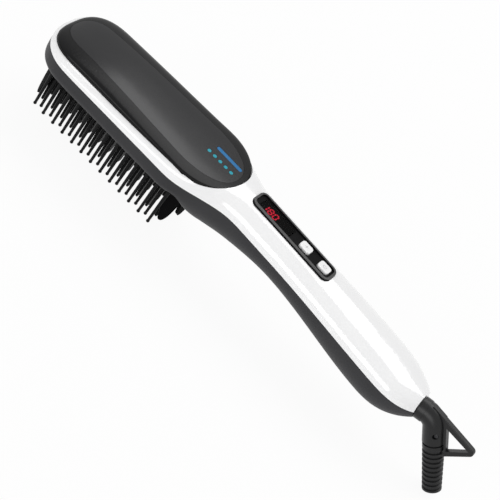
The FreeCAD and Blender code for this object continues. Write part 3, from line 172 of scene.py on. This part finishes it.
# Cover inlay: the thin arched panel in the cover, pierced for the lights.
# Printed acrylic in dark grey.
coat("cover_inlay", surface("grey acrylic", pale="121215", deep="0e0e11", rough=(0.12, 0.18), grain=1000.0,
                            depth=0.000002, Specular_IOR_Level=0.3))

# Level lights: five round light pipes and a long one, with their chips on a small board below.
# Tinted acrylic that glows from below.
coat("level_lenses", surface("cyan lens", pale="1f8fa0", deep="167486", rough=(0.1, 0.2), grain=800.0,
                             Specular_IOR_Level=0.2, Emission_Color=paint("2fb8c8"), Emission_Strength=0.25))
coat("light_bar", surface("blue lens", pale="1a6aa0", deep="145684", rough=(0.1, 0.2), grain=800.0,
                          Specular_IOR_Level=0.2, Emission_Color=paint("3a88c6"), Emission_Strength=0.2))
solder_resist = surface("green solder resist", pale="1f6b3a", deep="175730", rough=(0.3, 0.45), grain=1500.0)
coat("indicator_board", solder_resist)
coat("indicator_leds", surface("chip casing", pale="eeeadb", deep="dcd8c8", rough=(0.3, 0.45), grain=1500.0))

# Control panel: the black round-cornered frame in the handle, with its smoked pane, digit module, board and
# switches. Black ABS, polished on the rim and matt in the recess, where the black is also a little darker as
# painted shade; tinted acrylic; moulded black epoxy.
RIM_BAND = 0.0006
UPWARD_LEAST = 0.9


def mesh_array(items, field, width):
    """One field of all vertices or faces of a mesh, as rows of the given width."""
    values = np.empty(len(items) * width)
    items.foreach_get(field, values)
    return values.reshape(-1, width)


pane = nodes["display_window"].data
pane_normals = mesh_array(pane.polygons, "normal", 3)
pane_areas = mesh_array(pane.polygons, "area", 1)[:, 0]
panel_out = pane_normals[np.argmax(pane_areas * (pane_normals[:, 2] > UPWARD_LEAST))]
coat("control_bezel", surface("bezel gloss", pale="0e0e0f", deep="0a0a0b", rough=(0.10, 0.16), grain=1200.0,
                              depth=0.000003, Specular_IOR_Level=0.7))
bezel = nodes["control_bezel"].data
# The faces below the rim get a matt copy of the black that is also a little darker: painted shade in the
# recess.
bezel.materials.append(surface("bezel recess painted shade", pale="0a0a0b", deep="060607", rough=(0.5, 0.65), grain=2400.0,
                               Specular_IOR_Level=0.06))
face_heights = mesh_array(bezel.polygons, "center", 3) @ panel_out
rim_height = (mesh_array(bezel.vertices, "co", 3) @ panel_out).max()
bezel.polygons.foreach_set("material_index", (face_heights < rim_height - RIM_BAND).astype(np.int32))
coat("display_window", surface("smoked pane", pale="4a4042", deep="3c3436", rough=(0.04, 0.08), grain=700.0,
                               depth=0.000001, Transmission_Weight=1.0, IOR=1.12, Specular_IOR_Level=0.08))
coat("led_display", surface("digit module", pale="0c0c0c", deep="080808", rough=(0.4, 0.55), grain=1800.0,
                            Specular_IOR_Level=0.1))
coat("tact_switches", surface("switch case", pale="2e2e30", deep="232325", rough=(0.4, 0.55), grain=1800.0))
coat("control_board", solder_resist)
coat("board_screws", steel)

# Lit digits: three seven-segment numerals at the head end of the smoked pane.
# Red segments of a thin diffuser film on the pane's back, lit by the digit module below it.
DIGITS = "180"
DIGIT_HEIGHT = 0.0042
DIGIT_WIDTH = 0.0022
DIGIT_PITCH = 0.0035
DIGIT_START = 0.0017
DIGIT_SLANT_SHARE = 0.1
SEGMENT_WIDTH = 0.00075
SEGMENT_GAP_SHARE = 0.12
SEGMENT_END_SHARES = {"a": ((0, 1), (1, 1)), "b": ((1, 1), (1, 0.5)), "c": ((1, 0.5), (1, 0)),
                      "d": ((0, 0), (1, 0)), "e": ((0, 0), (0, 0.5)), "f": ((0, 0.5), (0, 1)),
                      "g": ((0, 0.5), (1, 0.5))}
LIT_SEGMENTS = {"0": "abcdef", "1": "bc", "8": "abcdefg"}
PRINT_LIFT = 0.00003
FLAT_WITHIN = 0.00001
panel_along = np.array([panel_out[2], 0.0, -panel_out[0]])
panel_across = np.array([0.0, 1.0, 0.0])


def top_face(name):
    """The flat top of a panel node: its middle, its length along the panel and the thickness below it."""
    places = mesh_array(nodes[name].data.vertices, "co", 3)
    heights = places @ panel_out
    top = places[heights > heights.max() - FLAT_WITHIN]
    return (top.min(axis=0) + top.max(axis=0)) / 2, np.ptp(top @ panel_along), np.ptp(heights)


def flat_strokes(name, strokes, width, carrier, lift, material, body):
    """Printed strokes on a carrier node: each stroke's path of (along, across) points becomes a flat band
    whose edges lie half the width to either side, square to the path's way, at the given lift from the
    carrier's top."""
    middle = top_face(carrier)[0]
    points, faces = [], []
    for stroke in strokes:
        path = np.asarray(stroke, float)
        way = np.gradient(path, axis=0)
        way /= np.linalg.norm(way, axis=1)[:, None]
        side = np.stack([-way[:, 1], way[:, 0]], axis=1) * width / 2
        band = np.stack([path - side, path + side], axis=1).reshape(-1, 2)
        first = len(points) + 2 * np.arange(len(path) - 1)
        faces += np.stack([first, first + 2, first + 3, first + 1], axis=1).tolist()
        spread = band[:, :1] * panel_along + band[:, 1:] * panel_across
        points += (middle + spread + lift * panel_out).tolist()
    mesh = bpy.data.meshes.new(name)
    mesh.from_pydata(points, [], faces)
    mesh.materials.append(material)
    made = bpy.data.objects.new(name, mesh)
    bpy.context.scene.collection.objects.link(made)
    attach(made, body)
    return made


pane_length, pane_thickness = top_face("display_window")[1:]
segments = []
for count, digit in enumerate(DIGITS):
    start = DIGIT_START + count * DIGIT_PITCH - pane_length / 2
    for segment in LIT_SEGMENTS[digit]:
        ends = np.array(SEGMENT_END_SHARES[segment])
        ends = ends + SEGMENT_GAP_SHARE * np.array([1, -1])[:, None] * (ends[1] - ends[0])
        across = (ends[:, 1] - 0.5) * DIGIT_HEIGHT
        along = start + ends[:, 0] * DIGIT_WIDTH + across * DIGIT_SLANT_SHARE
        segments.append(np.stack([along, across], axis=1))
red_film = surface("red segment", pale="ff5a66", deep="f0404e", rough=(0.3, 0.4), grain=900.0,
                   Emission_Color=paint("f0304c"), Emission_Strength=11.0)
digits = flat_strokes("lit_digits", segments, SEGMENT_WIDTH, "display_window",
                      -pane_thickness - PRINT_LIFT, red_film, "housing")

# Push buttons: two white keys with rounded edges, each on its switch's brown push rod.
# Gloss ABS, with acetal rods.
key_gloss = surface("key gloss", pale="f8f8f8", deep="f3f3f3", rough=(0.14, 0.2), grain=1100.0,
                    depth=0.000003)
brown_acetal = surface("brown acetal", pale="6b4a34", deep="573a27", rough=(0.35, 0.5), grain=1500.0)
for end in ("front", "rear"):
    coat(end + "_button", key_gloss)
    coat(end + "_plunger", brown_acetal)

# Key signs: a plus on the front key and a switch sign, an open ring with a bar, on the rear one.
# Pad-printed in pale grey.
SIGN_REACH = 0.0011
SIGN_WIDTH = 0.00035
RING_GAP_MIDDLE = 90.0
RING_GAP_DEGREES = 70.0
RING_STEPS = 25
grey_ink = surface("grey ink", pale="cfcfd0", deep="c4c4c6", rough=(0.35, 0.45), grain=1500.0)
plus = [((-SIGN_REACH, 0), (SIGN_REACH, 0)), ((0, -SIGN_REACH), (0, SIGN_REACH))]
ring_turn = np.linspace(RING_GAP_DEGREES / 2, 360 - RING_GAP_DEGREES / 2, RING_STEPS)
ring_angles = np.radians(RING_GAP_MIDDLE + ring_turn)
ring = SIGN_REACH * np.stack([np.cos(ring_angles), np.sin(ring_angles)], axis=1)
bar = ((0, 0), (0, SIGN_REACH))
for end, sign in (("front", plus), ("rear", [ring, bar])):
    printed = flat_strokes(end + "_sign", sign, SIGN_WIDTH, end + "_button", PRINT_LIFT, grey_ink,
                           end + "_key")

# Tail: bush, spring clip, elbow, hanging loop, its screw and the ribbed sleeve.
# Black nylon and soft rubber; the clip is steel, the screw blackened steel, the bush white acetal.
coat("swivel_bush", surface("white acetal", pale="dcdbd4", deep="cfcec6", rough=(0.35, 0.5), grain=1500.0))
coat("swivel_clip", steel)
elbow_nylon = surface("elbow nylon", pale="171718", deep="101011", rough=(0.26, 0.36), grain=2600.0,
                      Specular_IOR_Level=0.3)
coat("swivel_elbow", elbow_nylon)
coat("hang_loop", elbow_nylon)
coat("loop_screw", surface("blackened steel", pale="38383a", deep="2a2a2c", rough=(0.3, 0.45), grain=3000.0,
                           Metallic=0.6))
coat("cord_sleeve", surface("sleeve rubber", pale="171718", deep="101011", rough=(0.34, 0.46), grain=2200.0,
                            Specular_IOR_Level=0.3))

# Studio floor: a plain sheet of matt white paper under the brush.
# It keeps the brush's shadow, and shows nearly white to the camera and in mirrors and glass.
FLOOR_REACH = 3.0
FLOOR_WHITE_SHARE = 0.93


def floor_sheet(reach):
    """A level square of the given half side, at the brush's lowest point."""
    across = np.array([-reach, reach])
    x, y = np.meshgrid(across, across)
    points = np.stack([x.ravel(), y.ravel(), np.zeros(4)], axis=1)
    mesh = bpy.data.meshes.new("floor")
    mesh.from_pydata(points.tolist(), [], [(0, 1, 3, 2)])
    made = bpy.data.objects.new("floor", mesh)
    bpy.context.scene.collection.objects.link(made)
    return made


def seen_rays(tree):
    """1 for rays that see the studio from the camera, in a mirror or through glass, and 0 for other light."""
    rays = put(tree, "ShaderNodeLightPath").outputs
    seen = rays["Is Camera Ray"]
    for kind in ("Is Glossy Ray", "Is Transmission Ray"):
        seen = put(tree, "ShaderNodeMath", {0: seen, 1: rays[kind]}, operation="MAXIMUM").outputs[0]
    return seen


floor = floor_sheet(FLOOR_REACH)
studio_white = bpy.data.materials.new("studio white")
studio_white.use_nodes = True
floor_tree = studio_white.node_tree
floor_tree.nodes.clear()
paper = put(floor_tree, "ShaderNodeBsdfDiffuse", {"Color": paint("f4f4f4")})
glow = put(floor_tree, "ShaderNodeEmission", {"Color": (1, 1, 1, 1), "Strength": 1.0})
share = put(floor_tree, "ShaderNodeMath", {0: seen_rays(floor_tree), 1: FLOOR_WHITE_SHARE},
            operation="MULTIPLY")
mixed = put(floor_tree, "ShaderNodeMixShader", {0: share.outputs[0], 1: paper.outputs[0], 2: glow.outputs[0]})
put(floor_tree, "ShaderNodeOutputMaterial", {"Surface": mixed.outputs[0]})
floor.data.materials.append(studio_white)

# Studio light: an even white room, one soft lamp above and behind the brush and one low in front.
# The room looks white, and lights the brush at less than half that level.
ROOM_LIGHT = 0.46
LAMP_AIM = (0, 0, 0.03)
world = bpy.data.worlds.new("studio")
bpy.context.scene.world = world
world.use_nodes = True
room = world.node_tree
level = put(room, "ShaderNodeMapRange", {"Value": seen_rays(room), "To Min": ROOM_LIGHT, "To Max": 1.0})
room.nodes["Background"].inputs["Color"].default_value = (1, 1, 1, 1)
room.links.new(level.outputs["Result"], room.nodes["Background"].inputs["Strength"])


def softbox(name, place, width, height, power):
    """A soft rectangular lamp at place that faces the brush's middle."""
    lamp = bpy.data.lights.new(name, "AREA")
    lamp.shape = "RECTANGLE"
    lamp.size = width
    lamp.size_y = height
    lamp.energy = power
    made = bpy.data.objects.new(name, lamp)
    facing = (Vector(LAMP_AIM) - Vector(place)).to_track_quat("-Z", "Y").to_matrix().to_4x4()
    made.matrix_world = Matrix.Translation(place) @ facing
    bpy.context.scene.collection.objects.link(made)


softbox("overhead", place=(0.08, 0.72, 1.35), width=1.5, height=1.0, power=11.6)
softbox("front", place=(-0.1, -1.5, 0.47), width=1.8, height=0.9, power=12.0)

# Camera: the photograph's view, with the brush's head at the top left and its tail at the bottom right.
# It looks at the brush's middle plane from the front and above, a little from the tail's side, and is rolled.
CAMERA_RISE_DEGREES = 40.0
CAMERA_SIDE_DEGREES = 9.8
CAMERA_ROLL_DEGREES = 39.37
CAMERA_DISTANCE = 0.8
AIM_FROM_NOSE = 0.14974
AIM_ABOVE_TIPS = 0.01709
SENSOR_WIDTH_MM = 36.0
FOCAL_LENGTH_MM = 112.457
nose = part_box("upper_shell")[0].x
bristle_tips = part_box("outer_pins")[0].z
aim = Vector((nose + AIM_FROM_NOSE, 0.0, bristle_tips + AIM_ABOVE_TIPS))
lens = bpy.data.cameras.new("camera")
lens.sensor_width = SENSOR_WIDTH_MM
lens.lens = FOCAL_LENGTH_MM
camera = bpy.data.objects.new("camera", lens)
turn = (Matrix.Rotation(np.radians(CAMERA_SIDE_DEGREES), 4, "Z")
        @ Matrix.Rotation(np.radians(90.0 - CAMERA_RISE_DEGREES), 4, "X")
        @ Matrix.Rotation(np.radians(CAMERA_ROLL_DEGREES), 4, "Z"))
camera.matrix_world = Matrix.Translation(aim) @ turn @ Matrix.Translation((0, 0, CAMERA_DISTANCE))
bpy.context.scene.collection.objects.link(camera)
bpy.context.scene.camera = camera
bpy.context.scene.view_settings.view_transform = "Standard"
